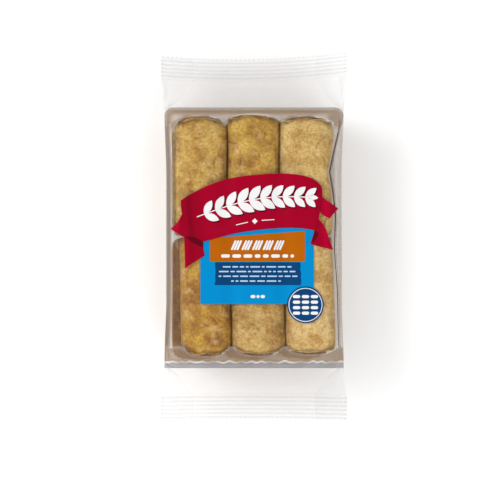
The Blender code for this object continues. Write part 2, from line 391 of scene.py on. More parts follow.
def make_roll(name, centre, y_low, y_high, z_low, width, height, seed, materials, rows, around, arch=4.2, ragged=0.7, swell_out=2.4, wall=None, under=False, near_arch=4.2):
    """One roll: a pastry sleeve round a core of sausage meat, cut across at both ends. centre is (x at y_low, x at y_high)."""
    rng = random.Random(seed)
    a, b = width / 2.0, height / 2.0
    zc = z_low + b
    off = rng.uniform(0.0, 50.0)
    # Creases: (place along, place across, angle, length, depth)
    creases = [
        (
            rng.uniform(y_low + 8, y_high - 8),
            rng.uniform(-0.7, 0.7) * a,
            rng.uniform(-0.9, 0.9),
            rng.uniform(5.0, 14.0),
            rng.uniform(0.25, 0.6),
        )
        for _ in range(7)
    ]
    bumps = [
        (
            rng.uniform(y_low + 5, y_high - 5),
            rng.uniform(-0.8, 0.8) * a,
            rng.uniform(2.0, 5.0),
            rng.uniform(0.25, 0.7),
        )
        for _ in range(12)
    ]
    verts, faces, shade_and_browning = [], [], []

    def end_place(sign, x, z):
        """How far along the end lies at this point of the section: arched, and cut by hand."""
        far = clamp(abs(x) / a) ** (2.6 if sign > 0 else 3.2)
        reach = arch if sign > 0 else near_arch
        cut = ragged * n3(x * 0.16 + off, z * 0.12, sign * 7.0) * 2.0
        low = clamp(1.0 - ((z / b + 0.15) / 0.85) ** 2)
        return sign * (-reach * far + cut + swell_out * low)

    def profile(share):
        """Gives no pull: 0.0 at any share."""
        return 0.0

    shares = []
    for i in range(rows + 1):
        t = i / rows
        shares.append(t + 0.035 * math.sin(2.0 * math.pi * t) * -1.0)
    ring_data = []
    edge = 5.5
    long = y_high - y_low
    for t in shares:
        from_end = min(t, 1.0 - t) * long
        pull = 0.0
        if from_end < edge:
            q = 1.0 - from_end / edge
            pull = 2.6 * (1.0 - math.sqrt(max(0.0, 1.0 - q * q))) * 0.9
        ring_data.append((t, pull, 0.0))
    for index, (t, pull, _) in enumerate(ring_data):
        lean = 2.0 * t - 1.0
        for j in range(around):
            angle = 2.0 * math.pi * j / around
            sx, sz = superellipse(angle, a - pull * 0.8, b - pull, 3.0, 4.2)
            # slow swell along the roll
            swell = 1.0 + 0.018 * n3(t * 4.0 + off, 0.0, 3.0)
            sx *= swell
            cx = mix(centre[0], centre[1], t) + 0.35 * n3(t * 3.0 + off, 9.0, 0.0)
            y = mix(
                y_low + end_place(-1, sx, sz),
                y_high + end_place(1, sx, sz),
                t,
            )
            nx, nz = math.cos(angle), math.sin(angle)
            px, pz = cx + sx, zc + sz
            d = 0.62 * n3(px * 0.085 + off, y * 0.075, pz * 0.085)
            d += 0.26 * n3(px * 0.24 + off, y * 0.21, pz * 0.24 + 5.0)
            fine = 0.21 * n3(px * 0.62 + off, y * 0.55, pz * 0.62 + 9.0)
            fine += 0.05 * n3(px * 1.7 + off, y * 1.6, pz * 1.7 + 2.0)
            cut = 0.0
            if sz > 0.2 * b:
                for cy, cxx, turn, size, depth in creases:
                    u = (y - cy) * math.cos(turn) + (sx - cxx) * math.sin(turn)
                    w = -(y - cy) * math.sin(turn) + (sx - cxx) * math.cos(turn)
                    bend = w - 0.05 * u * u * math.copysign(1.0, turn)
                    if abs(u) < size and abs(bend) < 2.2:
                        cut -= depth * bell(u, size) * (bell(bend, 0.9) - 0.45 * bell(bend - 1.1, 1.1))
                for by, bx, size, depth in bumps:
                    r = math.hypot(y - by, sx - bx)
                    if r < size:
                        cut += depth * bell(r, size)
            total = d + fine + cut
            # flatter where the roll is pressed against something
            if sz < -0.5 * b:
                total *= 0.3
            if abs(nx) > 0.9:
                total *= 0.5
            vx = px + nx * total
            if wall:
                limit = wall(y) - 0.7
                if vx > limit - 2.0:
                    # pressed: it comes up to the wall softly and never passes it
                    over = vx - (limit - 2.0)
                    vx = limit - 2.0 + 2.0 * (1.0 - math.exp(-over / 2.0))
            verts.append((vx, y, pz + nz * total))
            # browner within a few millimetres of each cut end, as baked
            browning_and_shade = -0.34 * clamp(1.0 - min(t, 1.0 - t) * long / 2.4)
            # painted shade: darker down the flanks towards the gaps between rolls and, on an upper roll, towards its
            # lower half
            browning_and_shade -= 0.10 * smooth((abs(sx) / a - 0.62) / 0.3) + (0.0 if under else 0.05) * (1.0 - smooth((sz / b + 0.1) / 0.5))
            if under:
                # painted shade: a lower roll is darkened over its upper half, where the rolls above it shade it
                browning_and_shade -= 0.22 * smooth((sz / b + 0.3) / 0.6) + 0.36 * smooth((sz / b - 0.3) / 0.4)
            # painted shade and painted highlight: the surface's lows are darker and its highs paler
            shade_and_browning.append(clamp(min(0.75 * cut, 0.12) + 0.75 * fine + 0.30 * d + browning_and_shade + 0.03, -0.5, 0.4))
    count = around
    total_rows = len(ring_data)
    for i in range(total_rows - 1):
        for j in range(count):
            k = (j + 1) % count
            faces.append((i * count + j, (i + 1) * count + j, (i + 1) * count + k, i * count + k))
    slots = [0] * len(faces)
    # Ends: the pastry's cut edge, then the meat, proud and uneven
    for sign, row in ((-1, 0), (1, total_rows - 1)):
        previous = [row * count + j for j in range(count)]
        middle_x = mix(centre[0], centre[1], 0.0 if sign < 0 else 1.0)
        levels = (
            (0.955, 0.45, 0, 0.5),
            (0.90, 0.2, 0, 0.4),
            (0.845, -1.1, 0, -0.1),
            (0.82, -1.7, 1, -0.5),
            (0.74, -0.6, 1, 0.0),
            (0.55, -0.2, 1, 0.1),
            (0.33, 0.0, 1, 0.1),
            (0.12, 0.0, 1, 0.0),
        )
        for shrink, out, slot, tone in levels:
            ring = []
            for j in range(count):
                vx, vy, vz = verts[row * count + j]
                x = middle_x + (vx - middle_x) * shrink
                z = zc + (vz - zc) * (shrink if shrink > 0.8 else shrink * 0.98)
                edge_y = vy - (mix(y_low, y_high, 0.0 if sign < 0 else 1.0))
                base = (y_low if sign < 0 else y_high) + edge_y * mix(0.25, 1.0, shrink**2)
                lump = 0.0
                if slot:
                    lump = 0.9 * n3(x * 0.3 + off, z * 0.3, sign * 3.0) + 0.35 * n3(x * 0.9, z * 0.9 + off, sign)
                else:
                    lump = 0.3 * n3(x * 0.8 + off, z * 0.8, sign * 4.0)
                verts.append((x, base + sign * (out + lump), z))
                shade_and_browning.append(tone)
                ring.append(len(verts) - 1)
            for j in range(count):
                k = (j + 1) % count
                quad = (previous[j], ring[j], ring[k], previous[k])
                faces.append(quad if sign > 0 else tuple(reversed(quad)))
                slots.append(slot)
            previous = ring
        faces.append(tuple(previous) if sign < 0 else tuple(reversed(previous)))
        slots.append(1)
    mesh_slots = slots
    return finish_mesh(name, verts, faces, materials, None, mesh_slots, {"shade_and_browning": shade_and_browning})


# --------------------------------------------------------------------- film


def column_at(y):
    far = smooth((y + 6.0) / 12.0)
    return [mix(b, a, far) for a, b in zip(COLUMNS[1], COLUMNS[-1])]


RIGHT_LINE = (
    # (y, x) of the tray's right-hand rim, which the film pulls in, from the near end to the far end
    (-89.0, 59.4), (-82.0, 58.2), (-73.0, 56.6), (-36.0, 55.9), (-9.0, 53.9), (14.4, 54.6),
    (30.0, 52.9), (43.3, 50.6), (56.0, 53.2), (68.0, 56.0), (78.3, 58.0), (84.0, 59.4), (90.0, 59.6),
)


def right_line(y):
    for (ya, xa), (yb, xb) in zip(RIGHT_LINE, RIGHT_LINE[1:]):
        if y <= yb:
            return mix(xa, xb, clamp((y - ya) / (yb - ya)))
    return RIGHT_LINE[-1][1]


def rim_half(y):
    """Half width at the rim. y is measured from the tray's middle."""
    return RIM_HALF + WAIST * smooth((abs(y) - 40.0) / 48.0)


def wrinkle(x, y):
    """Fine slack in the film."""
    return 0.16 * n3(x * 0.05, y * 0.03, 2.0) + 0.07 * n3(x * 0.14, y * 0.09, 5.0)


def film_top(x, y):
    """Height of the film over the tray, in mm, at a place in the row frame."""
    yt = y - TRAY_MID
    left, middle, right = column_at(y)
    sag = 1.3 * (
        bell(x - (left + middle) / 2.0, 9.0) + bell(x - (middle + right) / 2.0, 9.0)
    )
    sag += 1.1 * bell(y, 7.0)
    crown = TOP_Z - sag
    half = rim_half(yt)
    to_side = smooth((abs(x) - 50.0) / (half - 2.0 - 50.0))
    to_end = smooth((abs(yt) - (ROW_END - 1.0)) / (TRAY_LONG - ROW_END + 1.0))
    drop = 1.0 - (1.0 - to_side) * (1.0 - to_end)
    return crown + (RIM_Z - crown) * drop + wrinkle(x, y)


def seal_shift(x, sign):
    return SEAL_TILT[sign] * x + SEAL_BOW[sign] * x * x


N_TOP = 2 * TEETH + 1
N_SIDE = 14


def body_section(yt):
    """The ring at a station over the tray, as top, side and bottom lists of (x, z)."""
    half = rim_half(yt)
    base = BASE_HALF + (half - RIM_HALF)
    y = yt + TRAY_MID
    flat = half - 1.9
    points = []
    for i in range(N_TOP):
        x = mix(-flat, flat, i / (N_TOP - 1))
        points.append((x, film_top(x, y)))
    top_z = RIM_Z
    side = []
    path = [
        (flat + 1.2, top_z - 0.35),
        (half - 0.15, top_z - 1.2),
        (half, top_z - 2.6),
    ]
    for i in range(1, 12):
        t = i / 11.0
        z = mix(top_z - 2.6, SEAL_Z, t)
        path.append((mix(half, (half + base) / 2.0, t), z))
    side += path
    lower = []
    for i in range(1, 11):
        t = i / 10.0
        z = mix(SEAL_Z, 3.2, t)
        lower.append((mix((half + base) / 2.0, base, t), z))
    lower += [(base - 0.2, 1.9), (base - 0.9, 0.8), (base - 1.9, 0.25), (base - 2.6, 0.1)]
    side += lower
    bottom = [(mix(base - 3.0, -base + 3.0, i / (N_TOP - 1)), 0.08) for i in range(N_TOP)]
    return points, side, bottom


def slope_section(share, sign):
    half = rim_half(TRAY_LONG)
    half = mix(half, SEAL_HALF, share)
    base = mix(BASE_HALF + WAIST, SEAL_HALF, share)
    flatten = share + 0.10 * math.sin(math.pi * share)
    high = mix(RIM_Z, SEAL_Z + 0.3, flatten)
    low = mix(0.0, SEAL_Z - 0.3, 0.35 * smooth(share) + 0.65 * share)
    tuck = TUCK * share**0.75
    top = []
    for i in range(N_TOP):
        u = -1.0 + 2.0 * i / (N_TOP - 1)
        x = u * mix(half - 1.9, half, smooth(share * 4.0))
        bulge = math.sin(math.pi * share)
        z = high + bulge * (
            0.9 * n3(x * 0.03, share * 2.6 + 10.0 * sign, 1.0)
            + 0.35 * n3(x * 0.06, share * 5.0, 4.0 + sign)
        )
        z += bulge * 0.25 * math.sin(x * 0.42 + 1.1 * sign) * bell(x, 62.0)
        top.append((x, z))
    start = top[-1][1]
    side = []
    for i in range(1, 15):
        t = i / 14.0
        x = half - tuck * t
        z = mix(start, SEAL_Z, t) + 1.1 * math.sin(math.pi * t) * (1.0 - share) * share * 4.0 * -0.4
        side.append((x, z))
    for i in range(1, 15):
        t = i / 14.0
        x = mix(half - tuck, base, t)
        z = mix(SEAL_Z, low, t)
        side.append((x, z))
    bottom = []
    for i in range(N_TOP):
        u = 1.0 - 2.0 * i / (N_TOP - 1)
        x = u * mix(base - 3.0, base, smooth(share * 4.0))
        z = low + math.sin(math.pi * share) * 0.5 * n3(x * 0.06, share, 8.0 + sign)
        bottom.append((x, max(z, 0.05)))
    return top, side, bottom


def seal_section(wave, closing):
    gap = mix(0.30, 0.12, closing)
    z = SEAL_Z + wave
    top = [(mix(-SEAL_HALF, SEAL_HALF, i / (N_TOP - 1)), z + gap) for i in range(N_TOP)]
    side = []
    for i in range(1, 15):
        t = i / 14.0
        side.append((SEAL_HALF - TUCK * t, mix(z + gap * 0.4, z, t)))
    for i in range(1, 15):
        t = i / 14.0
        side.append((SEAL_HALF - TUCK * (1.0 - t), mix(z, z - gap * 0.4, t)))
    bottom = [(mix(SEAL_HALF, -SEAL_HALF, i / (N_TOP - 1)), z - gap) for i in range(N_TOP)]
    return top, side, bottom


ROLL_ENDS = {
    # the upper rolls' ends: (middle, half width, where the end lies, arch)
    1: ((-36.3, 18.3, 79.7, 6.0), (-0.7, 17.6, 81.3, 4.2), (35.3, 18.5, 79.7, 5.0)),
    -1: ((-32.3, 17.0, 79.8, 7.0), (3.0, 18.3, 79.4, 7.0), (38.4, 17.1, 78.4, 4.2)),
}


def roll_end(x, sign):
    """How far from the middle of the pack the upper rolls reach at this x."""
    middle, half, place, arch = min(ROLL_ENDS[sign], key=lambda item: abs(x - item[0]))
    return place - arch * clamp(abs(x - middle) / half) ** 2.8


def haze_over_tray(x, y):
    """How milky the film looks over the tray, and how much painted grey shade and painted brown shade it carries:
    clear where it lies on the rolls, cloudier where it bridges to the rim.
    """
    yt = y - TRAY_MID
    half = rim_half(yt)
    value, grey_shade, brown_shade = 0.004, 0.0, 0.0
    cloud = 0.05 * n3(x * 0.35, y * 0.35, 6.0) + 0.06 * n3(x * 0.9, y * 0.9, 3.0)
    backed = (1.0 - smooth((abs(x + 3.0) - 50.0) / 4.0)) * (1.0 - smooth((abs(y) - 80.5) / 3.0))
    if x < 0:
        # painted shade: a dark grey-brown strip along the left rim, where the gap between the rolls and the wall is in
        # shade
        side = smooth((-x - (half - 3.9)) / 0.9)
        value = mix(value, 0.96, side)
        grey_shade = mix(grey_shade, 1.0, side)
        brown_shade = mix(brown_shade, 0.66, side)
        # painted shade: brown in the far corner, for the shaded roll ends seen through the film
        corner = smooth((yt - 70.0) / 4.0) * smooth((-x - 53.2) / 1.4) * (1.0 - side)
        value = mix(value, 0.72, corner)
        brown_shade = mix(brown_shade, 1.0, corner)
    else:
        # painted shade and painted reflection: a beige strip beyond the pulled-in right rim, for the rolls' brown seen
        # through and mirrored in the wall
        beyond = smooth((x - right_line(y) - 0.7) / 0.7)
        value = mix(value, 0.20 + cloud, beyond)
        brown_shade = mix(brown_shade, 0.96, beyond)
        # painted shade: brown in the far corner, for the shaded roll ends seen through the film
        corner = smooth((yt - 70.0) / 4.0) * smooth((x - 52.4) / 1.4) * (1.0 - beyond)
        value = mix(value, 0.50, corner)
        brown_shade = mix(brown_shade, 0.96, corner)
        edge = smooth((x - (half - 0.9)) / 0.5)
        value = mix(value, 0.30, edge)
    if yt > 0:
        # painted shade: brown haze beyond the upper rolls' far ends, for the shaded lower rolls and tray end seen
        # through the film
        end = smooth((y - roll_end(x, 1) - 0.4) / 1.2)
        value = mix(value, mix(0.74, 0.58, backed) + cloud, end)
        brown_shade = mix(brown_shade, mix(1.0, 0.72, backed), end)
        grey_shade = mix(grey_shade, 0.0, end)
    else:
        # painted shade: the same brown haze beyond the near ends
        end = smooth((-y - roll_end(x, -1) - 0.5) / 1.6)
        value = mix(value, mix(0.72, 0.64, backed) + cloud, end)
        brown_shade = mix(brown_shade, mix(0.95, 0.92, backed), end)
        grey_shade = mix(grey_shade, 0.0, end)
        # painted shade: past a wavy line the film over the near rim is greyed
        scallop = 0.42 * math.sin(x * 0.80 + 2.0 * math.sin(x * 0.13)) + 0.75 * n3(x * 0.26, 3.0)
        place = -yt - (83.6 + scallop)
        past = smooth(place / 0.7)
        value = mix(value, 0.68, past)
        brown_shade = mix(brown_shade, 0.0, past)
        grey_shade = mix(grey_shade, 0.92 + 0.08 * n3(x * 0.09, 8.0), past)
        # painted highlight: a white wavy line along the crest
        crest = bell(place - 0.1, 0.7) * clamp(0.55 + 0.45 * math.sin(x * 0.31 + 1.0) + 0.3 * n3(x * 0.4, 1.0))
        value = max(value, 0.85 * crest)
        grey_shade = mix(grey_shade, 0.0, clamp(crest * 1.6))
        brown_shade = mix(brown_shade, 0.0, clamp(crest * 1.6))
    # outside the tray's rounded rim: more haze, partly painted grey shade
    qx, qy = abs(x) - (half - 5.8), abs(yt) - (TRAY_LONG - 5.8)
    outside = math.hypot(max(qx, 0.0), max(qy, 0.0)) + min(max(qx, qy), 0.0) - 5.8
    if yt > 0 or x < 0:
        over = smooth((outside + 0.9) / 0.7) * smooth((yt + 60.0) / 20.0)
        value = mix(value, 0.26, over)
        grey_shade = mix(grey_shade, 0.35, over)
        brown_shade = mix(brown_shade, 0.0, over)
    return clamp(value), clamp(grey_shade), clamp(brown_shade)


SLOPE_HAZE = 0.12
# painted grey shade on the seals, and how much more of it lies in the ridge valleys
SEAL_GREY_SHADE, SEAL_VALLEY_SHADE = 0.10, 0.08


def haze_on_slope(x, share, sign):
    """The slopes are a little milky all over, with soft clouds; their folds are mesh."""
    return clamp(SLOPE_HAZE + 0.05 * n3(x * 0.05, share * 2.6, 3.0 + 4.0 * sign)), 0.0, 0.0


def haze_on_seal(out, sign):
    """The seals carry a little painted grey shade, more in the valleys of the crimp's mesh ridges."""
    return SEAL_GREY_SHADE - SEAL_VALLEY_SHADE * math.sin(2.0 * math.pi * out / RIDGE[sign]), 1.0, 0.0


def make_film(material):
    rings, hazes = [], []

    def put(section, y_at, haze_at):
        top, side, bottom = section
        mirror = [(-x, z) for x, z in reversed(side)]
        ring, haze = [], []
        parts = (
            ["top"] * len(top)
            + ["rim"] * 3
            + ["side"] * (len(side) - 3)
            + ["bottom"] * len(bottom)
            + ["side"] * (len(side) - 3)
            + ["rim"] * 3
        )
        for (x, z), part in zip(top + side + bottom + mirror, parts):
            y = y_at(x, z)
            ring.append((x, y, z))
            haze.append(haze_at(x, y, part))
        rings.append(ring)
        hazes.append(haze)

    def put_seal(sign):
        root, wide = SEAL_ROOT[sign], SEAL_WIDTH[sign]
        ridge_pitch = RIDGE[sign]
        flat = wide - TOOTH
        steps = int(flat / (ridge_pitch / 7.0))
        levels = [flat * k / steps for k in range(steps + 1)]
        found = []
        for out in levels:
            wave = 0.50 * math.sin(2.0 * math.pi * (out / ridge_pitch))
            wave *= smooth(out / 1.5) * smooth((flat - out) / 1.2)
            found.append((out, wave, 0.0))
        section_rows = []
        for out, wave, closing in found:
            section_rows.append((out, seal_section(wave, smooth(out / 2.0)), False))
        section_rows.append((wide, seal_section(0.0, 1.0), True))
        return section_rows

    # near seal, from its teeth inwards
    for sign in (-1, 1):
        seal_rows = put_seal(sign)
        slope_rows = [0.02 + 0.02 * k for k in range(48)]

        def add_seal():
            rows = seal_rows if sign > 0 else list(reversed(seal_rows))
            for out, section, cut_edge in rows:
                def y_at(x, z, out=out, cut_edge=cut_edge):
                    depth = 0.0
                    if cut_edge:
                        spot = (x / SEAL_HALF * 0.5 + 0.5) * TEETH
                        depth = TOOTH * abs(2.0 * (spot - math.floor(spot + 0.5)))
                        depth = TOOTH - depth
                    return sign * (SEAL_ROOT[sign] + out - depth + seal_shift(x, sign))

                def haze_at(x, y, part, out=out):
                    if part == "top":
                        return haze_on_seal(out, sign)
                    if part == "bottom":
                        return 0.06, 0.0, 0.0
                    return 0.03, 0.0, 0.0

                put(section, y_at, haze_at)

        def add_slope():
            rows = slope_rows if sign > 0 else list(reversed(slope_rows))
            near = TRAY_LONG + sign * TRAY_MID
            for share in rows:
                def y_at(x, z, share=share):
                    place = near + (SEAL_ROOT[sign] - near) * share + seal_shift(x, sign) * share
                    if z < RIM_Z - 3.0:
                        place -= (1.0 - share) * 2.4 * clamp(1.0 - z / RIM_Z) * 1.0
                    return sign * place

                def haze_at(x, y, part, share=share):
                    if part == "top":
                        return haze_on_slope(x, share, sign)
                    # a little painted grey shade on the slope's rim and sides
                    return (0.16, 0.15, 0.0) if part == "rim" else (0.03 if part == "bottom" else 0.05, 0.08, 0.0)

                put(slope_section(share, sign), y_at, haze_at)

        def add_body():
            stations = []
            yt = -TRAY_LONG
            while yt < TRAY_LONG + 0.01:
                stations.append(yt)
                if yt < -80.5:
                    yt += 0.5
                elif abs(yt) > 76.0:
                    yt += 1.0
                else:
                    yt += 2.5
            if stations[-1] < TRAY_LONG - 0.4:
                stations.append(TRAY_LONG)
            for yt in stations:
                def y_at(x, z, yt=yt):
                    lean = clamp(z / RIM_Z)
                    return TRAY_MID + yt * mix(BASE_LONG / TRAY_LONG, 1.0, lean)

                def haze_at(x, y, part):
                    if part in ("top", "rim"):
                        return haze_over_tray(x, y)
                    # a little painted grey and brown shade on the film's sides and bottom
                    return 0.05, 0.04, 0.04

                put(body_section(yt), y_at, haze_at)

        if sign < 0:
            add_seal()
            add_slope()
            add_body()
        else:
            add_slope()
            add_seal()

    verts, faces, haze, grey_shade, brown_shade = [], [], [], [], []
    size = len(rings[0])
    for ring, values in zip(rings, hazes):
        verts += ring
        haze += [v[0] for v in values]
        grey_shade += [v[1] for v in values]
        brown_shade += [v[2] for v in values]
    for i in range(len(rings) - 1):
        for j in range(size):
            k = (j + 1) % size
            faces.append((i * size + j, i * size + k, (i + 1) * size + k, (i + 1) * size + j))
    return finish_mesh("film_bag", verts, faces, [material], 70.0, None, {"haze": haze, "grey_shade": grey_shade, "brown_shade": brown_shade})


# --------------------------------------------------------------------- tray


def rounded_rect(half_x, half_y, radius, per_corner=10, per_side_x=14, per_side_y=20):
    points = []
    corners = (
        (half_x - radius, half_y - radius, 0.0),
        (-half_x + radius, half_y - radius, 90.0),
        (-half_x + radius, -half_y + radius, 180.0),
        (half_x - radius, -half_y + radius, 270.0),
    )
    for index, (cx, cy, start) in enumerate(corners):
        for i in range(per_corner + 1):
            angle = math.radians(start + 90.0 * i / per_corner)
            points.append((cx + radius * math.cos(angle), cy + radius * math.sin(angle)))
        nx, ny, nstart = corners[(index + 1) % 4]
        angle = math.radians(nstart)
        goal = (nx + radius * math.cos(angle), ny + radius * math.sin(angle))
        last = points[-1]
        steps = per_side_x if index % 2 == 0 else per_side_y
        steps *= 2
        for i in range(1, steps):
            t = i / steps
            points.append((mix(last[0], goal[0], t), mix(last[1], goal[1], t)))
    return points


def make_tray(material, bead_material, dark_bead):
    """Thin clear tray: flat base, walls that lean out, and a rolled rim."""
    levels = [
        # half x, half y, radius, z, haze
        (BASE_HALF - 5.0, BASE_LONG - 5.0, 4.0, 0.7, 0.05),
        (BASE_HALF - 3.2, BASE_LONG - 3.2, 3.6, 0.8, 0.10),
        (BASE_HALF - 2.2, BASE_LONG - 2.2, 4.0, 1.5, 0.14),
        (BASE_HALF - 1.7, BASE_LONG - 1.7, 4.3, 2.8, 0.12),
    ]
    for i in range(1, 12):
        t = i / 11.0
        levels.append(
            (
                mix(BASE_HALF - 1.7, RIM_HALF - 2.8, t),
                mix(BASE_LONG - 1.7, TRAY_LONG - 2.8, t),
                mix(4.3, 4.9, t),
                mix(2.8, 43.4, t),
                0.09,
            )
        )
    levels += [
        (RIM_HALF - 2.6, TRAY_LONG - 2.5, 5.0, 44.4, 0.16),
        (RIM_HALF - 2.2, TRAY_LONG - 2.1, 5.2, 45.0, 0.14),
        (RIM_HALF - 1.5, TRAY_LONG - 1.3, 5.4, 45.0, 0.10),
        (RIM_HALF - 0.8, TRAY_LONG - 0.7, 5.6, 44.7, 0.14),
        (RIM_HALF - 0.4, TRAY_LONG - 0.3, 5.8, 44.1, 0.22),
        (RIM_HALF - 0.5, TRAY_LONG - 0.4, 5.8, 43.0, 0.16),
    ]
    verts, faces, haze = [], [], []
    count = None
    beads = {15: [], 19: []}
    for index, (hx, hy, radius, z, value) in enumerate(levels):
        ring = rounded_rect(hx, hy, radius)
        count = len(ring)
        height = clamp(z / 44.0)
        for x, y in ring:
            # shallow flutes in the walls stiffen the real thing
            flute = 0.0
            if 2 < index < 15:
                strength = math.sin(math.pi * clamp((z - 2.0) / 42.0))
                if abs(abs(y) - hy) < 0.01 and abs(x) < hx - radius:
                    flute = 0.55 * strength * (0.5 + 0.5 * math.cos(2.0 * math.pi * x / 9.0))
                    y -= math.copysign(flute, y)
                elif abs(abs(x) - hx) < 0.01 and abs(y) < hy - radius:
                    flute = 0.45 * strength * (0.5 + 0.5 * math.cos(2.0 * math.pi * y / 11.0))
                    x -= math.copysign(flute, x)
            wide = WAIST * smooth((abs(y) - 40.0) / 48.0)
            x += math.copysign(wide * height, x) if abs(x) > 30 else 0.0
            if x > 45.0:
                x = min(x, mix(x, right_line(y + TRAY_MID) + 0.35, height**1.6) + 0.25 * max(0, index - 15))
            verts.append((x, y + TRAY_MID, z))
            haze.append(value)
            if index in (15, 19):
                beads[index].append((x, y + TRAY_MID, z + 0.15))
    for i in range(len(levels) - 1):
        for j in range(count):
            k = (j + 1) % count
            faces.append((i * count + j, (i + 1) * count + j, (i + 1) * count + k, i * count + k))
    verts.append((0.0, TRAY_MID, 0.7))
    haze.append(0.05)
    for j in range(count):
        faces.append((j, (j + 1) % count, len(verts) - 1))
    finish_mesh("clear_tray", verts, faces, [material], 50.0, None, {"haze": haze})
    # dark grey lines along the rim; along the right a dark brown stretch is painted shade, for the shade between the
    # right-hand rolls and the wall
    for index, thick, dark in ((15, 0.30, 0.10), (19, 0.36, 0.85)):
        path = beads[index]
        v, f, h = [], [], []
        sides = 6
        n = len(path)
        for i, (x, y, z) in enumerate(path):
            ax, ay, _ = path[i - 1]
            bx, by, _ = path[(i + 1) % n]
            length = math.hypot(bx - ax, by - ay) or 1.0
            nx, ny = (by - ay) / length, -(bx - ax) / length
            for k in range(sides):
                a = 2.0 * math.pi * k / sides
                right = smooth((x - 48.0) / 4.0) * smooth((78.0 - y) / 4.0)
                wide = thick * (1.0 + (0.7 if index == 15 else 0.0) * right * smooth((y + 10.0) / 20.0))
                v.append((x + nx * wide * math.cos(a), y + ny * wide * math.cos(a), z + thick * math.sin(a)))
                near = smooth((-y - 68.0) / 8.0)
                value = mix(dark, 0.95 if index == 15 else 0.06, right)
                h.append(mix(value, 0.10, near))
        slots = []
        for i in range(n):
            for k in range(sides):
                m = (k + 1) % sides
                j = (i + 1) % n
                f.append((i * sides + k, i * sides + m, j * sides + m, j * sides + k))
                slots.append(1 if path[i][0] > 50.0 and path[i][1] < 77.0 and index == 15 else 0)
        finish_mesh(f"tray_rim_{index}", v, f, [bead_material, dark_bead], None, slots, {"haze": h})


# -------------------------------------------------------------------- print


def px(x, y, lift=0.0):
    """A place on the print, given on the 500 by 500 layout grid the print was planned on, in millimetres."""
    return ((x - 250.0) * 0.6732 - 2.7, (250.0 - y) * 0.6732 - 9.2)


def curve_through(points, steps=8, closed=True):
    """Smooth closed or open line through points; a point written twice is a sharp corner."""
    found = []
    count = len(points)
    last = count if closed else count - 1
    for i in range(last):
        p0 = points[(i - 1) % count] if closed or i > 0 else points[i]
        p1 = points[i]
        p2 = points[(i + 1) % count]
        p3 = points[(i + 2) % count] if closed or i + 2 < count else p2
        if p1 == p2:
            continue
        sharp_start = p0 == p1
        sharp_end = p3 == p2
        for s in range(steps):
            t = s / steps
            m1 = [(p2[k] - p0[k]) / 2.0 for k in (0, 1)]
            m2 = [(p3[k] - p1[k]) / 2.0 for k in (0, 1)]
            if sharp_start:
                m1 = [(p2[k] - p1[k]) for k in (0, 1)]
            if sharp_end:
                m2 = [(p2[k] - p1[k]) for k in (0, 1)]
            h1 = 2 * t**3 - 3 * t**2 + 1
            h2 = -2 * t**3 + 3 * t**2
            h3 = t**3 - 2 * t**2 + t
            h4 = t**3 - t**2
            found.append(
                tuple(h1 * p1[k] + h2 * p2[k] + h3 * m1[k] + h4 * m2[k] for k in (0, 1))
            )
    if not closed:
        found.append(points[-1])
    return found


def dense(outline, step=2.5):
    """The outline with its long sides divided, so that it can follow the film."""
    found = []
    for (ax, ay), (bx, by) in zip(outline, outline[1:] + outline[:1]):
        pieces = max(1, int(math.hypot(bx - ax, by - ay) / step))
        for i in range(pieces):
            t = i / pieces
            found.append((mix(ax, bx, t), mix(ay, by, t)))
    return found


def inside(point, outline):
    x, y = point
    found = False
    for (ax, ay), (bx, by) in zip(outline, outline[1:] + outline[:1]):
        if (ay > y) != (by > y) and x < (bx - ax) * (y - ay) / (by - ay) + ax:
            found = not found
    return found


def patch_data(outline, lift, step=1.9):
    outline = dense(outline, step)
    points = [Vector(p) for p in outline]
    xs, ys = [p[0] for p in outline], [p[1] for p in outline]
    inner = []
    if max(xs) - min(xs) > 1.5 * step and max(ys) - min(ys) > 1.5 * step:
        y = min(ys) + step * 0.7
        row = 0
        while y < max(ys):
            x = min(xs) + step * (0.4 if row % 2 else 0.9)
            while x < max(xs):
                if inside((x, y), outline):
                    gap = min((x - a) ** 2 + (y - b) ** 2 for a, b in outline)
                    if gap > (0.45 * step) ** 2:
                        inner.append(Vector((x, y)))
                x += step
            y += step
            row += 1
    loop = list(range(len(points)))
    result = delaunay_2d_cdt(points + inner, [], [loop], 1, 1e-6)
    flat, tris = result[0], result[2]
    verts = [(p.x, p.y, film_top(p.x, p.y) + lift) for p in flat]
    faces = []
    for tri in tris:
        a, b, c = (flat[i] for i in tri[:3])
        area = (b.x - a.x) * (c.y - a.y) - (b.y - a.y) * (c.x - a.x)
        faces.append(tuple(tri) if area > 0 else tuple(reversed(tri)))
    return verts, faces


def print_piece(name, outlines, lift, material, step=1.9, shade=None):
    verts, faces = [], []
    for outline in outlines:
        v, f = patch_data(outline, lift, step)
        start = len(verts)
        verts += v
        faces += [tuple(i + start for i in face) for face in f]
    values = {"shade": [shade(x, y) for x, y, _ in verts]} if shade else None
    return finish_mesh(name, verts, faces, [material], None, None, values)


def ellipse(cx, cy, rx, ry, turn=0.0, count=20):
    c, s = math.cos(turn), math.sin(turn)
    return [
        (
            cx + rx * math.cos(a) * c - ry * math.sin(a) * s,
            cy + rx * math.cos(a) * s + ry * math.sin(a) * c,
        )
        for a in (2.0 * math.pi * i / count for i in range(count))
    ]


def bar(cx, cy, length, thick, turn=0.0, ends=5):
    """A bar with round ends."""
    r = thick / 2.0
    half = max(0.0, length / 2.0 - r)
    points = []
    for i in range(ends + 1):
        a = -math.pi / 2 + math.pi * i / ends
        points.append((half + r * math.cos(a), r * math.sin(a)))
    for i in range(ends + 1):
        a = math.pi / 2 + math.pi * i / ends
        points.append((-half + r * math.cos(a), r * math.sin(a)))
    c, s = math.cos(turn), math.sin(turn)
    return [(cx + x * c - y * s, cy + x * s + y * c) for x, y in points]


